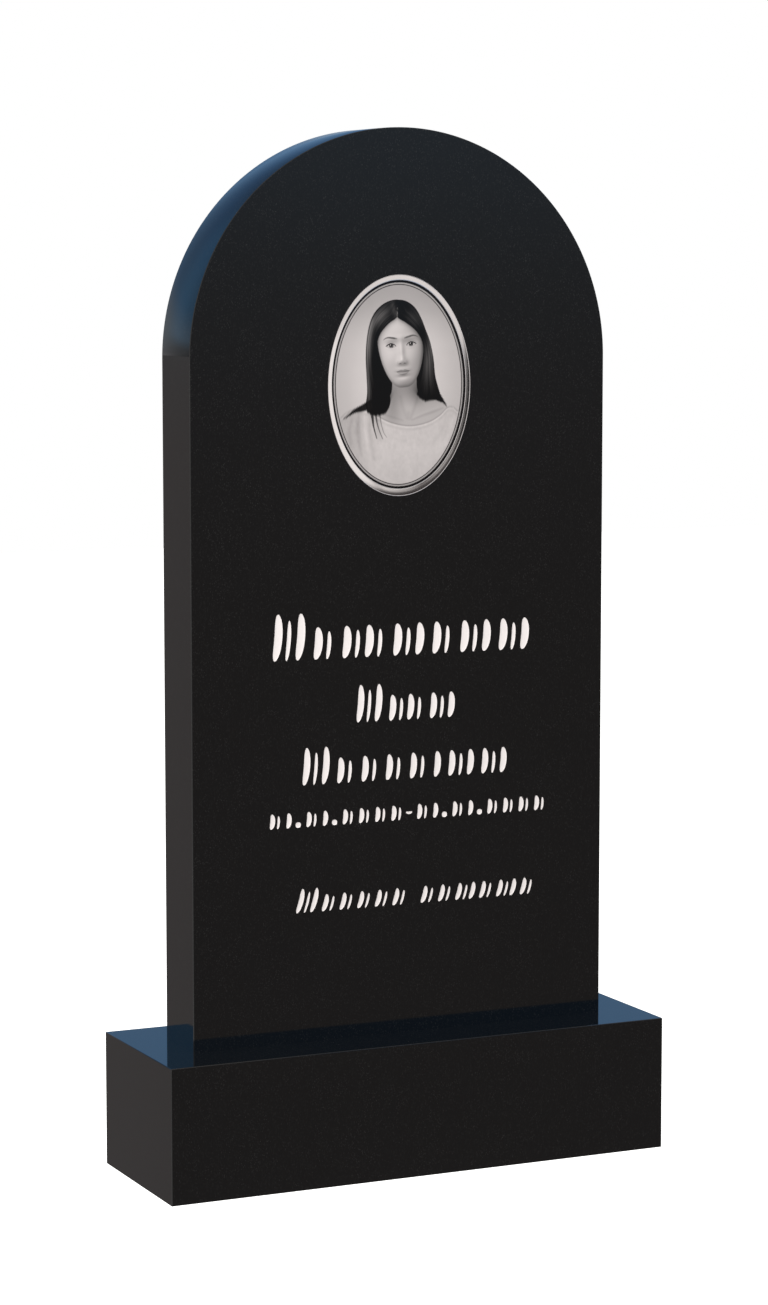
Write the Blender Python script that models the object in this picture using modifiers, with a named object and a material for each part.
"""A round-topped headstone of polished black stone.

A slab stands on a plain block. An oval portrait plate in a metal frame is glued to the
slab's face, and rows of shallow engraved strokes fill the place of an inscription.

Units are metres and +Z is up. The origin is the middle of the stand's underside, and the
face of the headstone looks to -Y.
"""

import math
from collections import namedtuple

import bmesh
import bpy

# Slab, with a half-round head across its full width.
SLAB_WIDTH = 0.500
SLAB_HEIGHT = 1.000
SLAB_THICKNESS = 0.080
HEAD_STEPS = 64

# Stand, a plain sawn block that the slab stands in the middle of.
STAND_HEIGHT = 0.150
END_LEDGE = 0.050
FACE_LEDGE = 0.060

# Flat arris along the outer edges of both stones.
ARRIS = 0.001

# Pieces that touch keep this gap.
SEAT_GAP = 0.0003

# Oval portrait, over its frame. Its middle stands at a share of the slab's height.
OVAL_WIDTH = 0.172
OVAL_HEIGHT = 0.242
OVAL_MIDDLE = -0.003
OVAL_AT = 0.720
OVAL_STEPS = 72

# Thin ceramic plate, held under the frame's lip. Its face swells gently to the middle.
PLATE_EDGE = 0.0012
PLATE_CROWN = 0.0012
PLATE_CLEARANCE = 0.0003
CROWN_STEPS = 6

# Frame section where the oval is tallest. It stands highest at the plate and falls in a
# quarter round to a thin flange. The squeeze to an oval narrows it at the sides.
FRAME_BAND = 0.0074
FRAME_REBATE = 0.0022
FRAME_LIP = 0.0011
FRAME_FLANGE = 0.0009
FLANGE_THICKNESS = 0.0007
ROUND_STEPS = 7

# Engraved strokes. The bow is a share of a stroke's width, the thin strokes and dots are
# shares of the row's full stroke, and gaps are counted in stroke pitches.
STROKE_DEPTH = 0.0012
STROKE_STEPS = 5
STROKE_FULLNESS = 3
STROKE_BOW = 0.25
THIN_SHARE = 0.5
THIN_HEIGHT = 0.86
GROUP_GAP = 0.55
WORD_GAP = 1.6
DOT_STEPS = 8
DOT_SHARE = 0.55

# One row of strokes. The baseline is a share of the slab's height and lean is in degrees.
# In the pattern a digit is a group of that many strokes, the first group of a row being
# the tall one, "." a dot, "-" a dash and " " a word gap.
Row = namedtuple("Row", "baseline middle width tall short weight lean pattern")
ROWS = (
    Row(0.423, 0.000, 0.301, 0.052, 0.036, 0.0095, 5, "3243233"),
    Row(0.351, 0.004, 0.111, 0.042, 0.029, 0.0076, 5, "343"),
    Row(0.285, 0.004, 0.241, 0.042, 0.029, 0.0076, 5, "32222133"),
    Row(0.239, 0.009, 0.332, 0.017, 0.017, 0.0057, 5, "21.21.2222-21.21.2222"),
    Row(0.144, 0.018, 0.283, 0.027, 0.019, 0.0056, 16, "322222 223232"),
)

# What is drawn flat is stood up with this turn: its own +Z then looks to -Y.
STAND_UP = (math.pi / 2, 0, 0)


def clear_scene():
    for obj in list(bpy.data.objects):
        bpy.data.objects.remove(obj)


def new_collection(name):
    collection = bpy.data.collections.new(name)
    bpy.context.scene.collection.children.link(collection)
    return collection


def finish_of(name, colour, roughness, metallic=0.0):
    """A plain Principled material."""
    material = bpy.data.materials.new(name)
    material.use_nodes = True
    shader = material.node_tree.nodes["Principled BSDF"]
    shader.inputs["Base Color"].default_value = (*colour, 1)
    shader.inputs["Roughness"].default_value = roughness
    shader.inputs["Metallic"].default_value = metallic
    return material


def shade_round_side(mesh):
    """Smooth shading on what stands up from the outline, and flat caps."""
    mesh.set_sharp_from_angle(angle=math.radians(30))
    for polygon in mesh.polygons:
        polygon.use_smooth = abs(polygon.normal.z) < 0.5


def curve_to_mesh(obj):
    """Replaces a curve by its mesh, with the flat caps welded on and made one face each."""
    bpy.context.view_layer.update()
    graph = bpy.context.evaluated_depsgraph_get()
    mesh = bpy.data.meshes.new_from_object(obj.evaluated_get(graph))
    work = bmesh.new()
    work.from_mesh(mesh)
    bmesh.ops.remove_doubles(work, verts=work.verts, dist=1e-6)
    bmesh.ops.dissolve_limit(work, angle_limit=math.radians(1), verts=work.verts, edges=work.edges)
    work.to_mesh(mesh)
    work.free()
    shade_round_side(mesh)
    name = obj.name
    solid = bpy.data.objects.new(name, mesh)
    solid.matrix_world = obj.matrix_world
    obj.users_collection[0].objects.link(solid)
    bpy.data.objects.remove(obj)
    solid.name = name
    return solid


def flat_outline(name, outlines, thickness, place, collection):
    """One or more closed outlines given a thickness, then stood up to face -Y."""
    curve = bpy.data.curves.new(name, "CURVE")
    curve.dimensions = "2D"
    curve.fill_mode = "BOTH"
    curve.extrude = thickness / 2
    for points in outlines:
        spline = curve.splines.new("POLY")
        spline.points.add(len(points) - 1)
        for point, (across, up) in zip(spline.points, points):
            point.co = (across, up, 0, 1)
        spline.use_cyclic_u = True
    obj = bpy.data.objects.new(name, curve)
    obj.rotation_euler = STAND_UP
    obj.location = place
    collection.objects.link(obj)
    return curve_to_mesh(obj)


def turned_oval(name, section, closed, place, collection):
    """A section turned round the oval's axis, squeezed to the oval and stood up.

    The section holds (distance from the axis, height above the back) and runs down its
    outer side.
    """
    mesh = bpy.data.meshes.new(name)
    edges = [(i, i + 1) for i in range(len(section) - 1)]
    if closed:
        edges.append((len(section) - 1, 0))
    mesh.from_pydata([(radius, 0, height) for radius, height in section], edges, [])
    obj = bpy.data.objects.new(name, mesh)
    obj.scale.x = OVAL_WIDTH / OVAL_HEIGHT
    obj.rotation_euler = STAND_UP
    obj.location = place
    collection.objects.link(obj)
    turn = obj.modifiers.new("Turn", "SCREW")
    turn.steps = OVAL_STEPS
    turn.render_steps = OVAL_STEPS
    turn.use_merge_vertices = True
    turn.merge_threshold = 1e-6
    turn.use_smooth_shade = True
    return obj


def add_arris(obj):
    bevel = obj.modifiers.new("Arris", "BEVEL")
    bevel.width = ARRIS
    bevel.segments = 1
    bevel.limit_method = "ANGLE"
    bevel.angle_limit = math.radians(30)


def cut(obj, cutter):
    boolean = obj.modifiers.new("Cut " + cutter.name, "BOOLEAN")
    boolean.operation = "DIFFERENCE"
    boolean.solver = "EXACT"
    boolean.object = cutter
    cutter.hide_render = True
    cutter.display_type = "WIRE"


def build_stand(collection):
    bpy.ops.mesh.primitive_cube_add(size=1, location=(0, 0, STAND_HEIGHT / 2))
    stand = bpy.context.object
    stand.name = "stand"
    stand.scale = (SLAB_WIDTH + 2 * END_LEDGE, SLAB_THICKNESS + 2 * FACE_LEDGE, STAND_HEIGHT)
    bpy.ops.object.transform_apply(location=False, rotation=False, scale=True)
    stand.users_collection[0].objects.unlink(stand)
    collection.objects.link(stand)
    add_arris(stand)
    return stand


def slab_outline():
    """Straight sides and a half-round head, from the foot's right corner to its left."""
    radius = SLAB_WIDTH / 2
    spring = SLAB_HEIGHT - radius
    points = [(radius, 0)]
    for step in range(HEAD_STEPS + 1):
        turn = math.pi * step / HEAD_STEPS
        points.append((radius * math.cos(turn), spring + radius * math.sin(turn)))
    points.append((-radius, 0))
    return points


def build_slab(collection):
    foot = STAND_HEIGHT + SEAT_GAP
    slab = flat_outline("slab", [slab_outline()], SLAB_THICKNESS, (0, 0, foot), collection)
    add_arris(slab)
    return slab


def leaf(foot, tip, weight):
    """A full, leaf-shaped stroke from foot to tip, bowed a little to its right."""
    along = (tip[0] - foot[0], tip[1] - foot[1])
    length = math.hypot(*along)
    side = (along[1] / length, -along[0] / length)
    points = []
    for step in range(2 * STROKE_STEPS):
        turn = math.pi * step / STROKE_STEPS
        share = (1 - math.cos(turn)) / 2
        swell = math.sqrt(1 - abs(math.cos(turn)) ** STROKE_FULLNESS) / 2
        bow = STROKE_BOW * math.sin(turn) ** 2
        offset = weight * (math.copysign(swell, math.sin(turn)) + bow)
        across = foot[0] + along[0] * share + side[0] * offset
        up = foot[1] + along[1] * share + side[1] * offset
        points.append((across, up))
    return points


def dot(middle, radius):
    turns = [2 * math.pi * step / DOT_STEPS for step in range(DOT_STEPS)]
    return [(middle[0] + radius * math.cos(a), middle[1] + radius * math.sin(a)) for a in turns]


def marks_of(pattern):
    """(sign, is it tall, is it thin, place) of each mark, places in stroke pitches."""
    marks = []
    place = 0
    for number, sign in enumerate(pattern):
        if sign == " ":
            place += WORD_GAP
            continue
        count = int(sign) if sign.isdigit() else 1
        marks += [(sign, number == 0, step % 2 == 1, place + step) for step in range(count)]
        place += count + GROUP_GAP
    return marks


def row_outlines(row):
    """The outlines of one row, across the slab and up from its foot."""
    marks = marks_of(row.pattern)
    pitch = row.width / marks[-1][-1]
    base = row.baseline * SLAB_HEIGHT
    slant = math.tan(math.radians(row.lean))
    outlines = []
    for sign, tall, thin, place in marks:
        across = row.middle - row.width / 2 + place * pitch
        if sign == ".":
            radius = row.weight * DOT_SHARE
            outlines.append(dot((across, base + radius), radius))
        elif sign == "-":
            middle = base + row.short / 2
            ends = (across - pitch / 2, middle), (across + pitch / 2, middle)
            outlines.append(leaf(*ends, row.weight * THIN_SHARE))
        else:
            height = (row.tall if tall else row.short) * (THIN_HEIGHT if thin else 1)
            weight = row.weight * (THIN_SHARE if thin else 1)
            lean = slant * height / 2
            outlines.append(leaf((across - lean, base), (across + lean, base + height), weight))
    return outlines


def build_stroke_cutter(collection):
    """Every stroke as one cutter, half in the slab's face and half proud of it."""
    outlines = [outline for row in ROWS for outline in row_outlines(row)]
    place = (0, -SLAB_THICKNESS / 2, STAND_HEIGHT + SEAT_GAP)
    return flat_outline("inscription_cutter", outlines, 2 * STROKE_DEPTH, place, collection)


def frame_section():
    """Quarter round with a thin flange outside and a rebate for the plate behind."""
    outer = OVAL_HEIGHT / 2
    opening = outer - FRAME_BAND
    rebate = opening + FRAME_REBATE
    shelf = PLATE_EDGE + PLATE_CLEARANCE
    width = FRAME_BAND - FRAME_FLANGE
    rise = shelf + FRAME_LIP - FLANGE_THICKNESS
    section = []
    for step in range(ROUND_STEPS + 1):
        turn = math.pi / 2 * step / ROUND_STEPS
        height = FLANGE_THICKNESS + rise * math.cos(turn)
        section.append((opening + width * math.sin(turn), height))
    section += [(outer, FLANGE_THICKNESS), (outer, 0)]
    section += [(rebate, 0), (rebate, shelf), (opening, shelf)]
    return section


def plate_section():
    """Crowned face from the middle out, then down the rim and back under."""
    rim = OVAL_HEIGHT / 2 - FRAME_BAND + FRAME_REBATE - PLATE_CLEARANCE
    section = []
    for step in range(CROWN_STEPS + 1):
        share = step / CROWN_STEPS
        section.append((rim * share, PLATE_EDGE + PLATE_CROWN * (1 - share**2)))
    return section + [(rim, 0), (0, 0)]


def oval_place():
    """The middle of the oval's back, clear of the slab's face."""
    front = -SLAB_THICKNESS / 2 - SEAT_GAP
    return (OVAL_MIDDLE, front, STAND_HEIGHT + SEAT_GAP + OVAL_AT * SLAB_HEIGHT)


def main():
    clear_scene()
    headstone = new_collection("headstone")
    cutters = new_collection("cutters")

    stand = build_stand(headstone)
    slab = build_slab(headstone)
    cut(slab, build_stroke_cutter(cutters))
    frame = turned_oval("portrait_frame", frame_section(), True, oval_place(), headstone)
    plate = turned_oval("portrait_plate", plate_section(), False, oval_place(), headstone)

    stone = (0.006, 0.006, 0.006)
    stand.data.materials.append(finish_of("polished black stone, stand", stone, 0.15))
    slab.data.materials.append(finish_of("polished black stone, slab", stone, 0.15))
    frame.data.materials.append(finish_of("polished steel", (0.80, 0.77, 0.76), 0.2, 1.0))
    plate.data.materials.append(finish_of("glazed ceramic", (0.72, 0.68, 0.66), 0.1))


main()
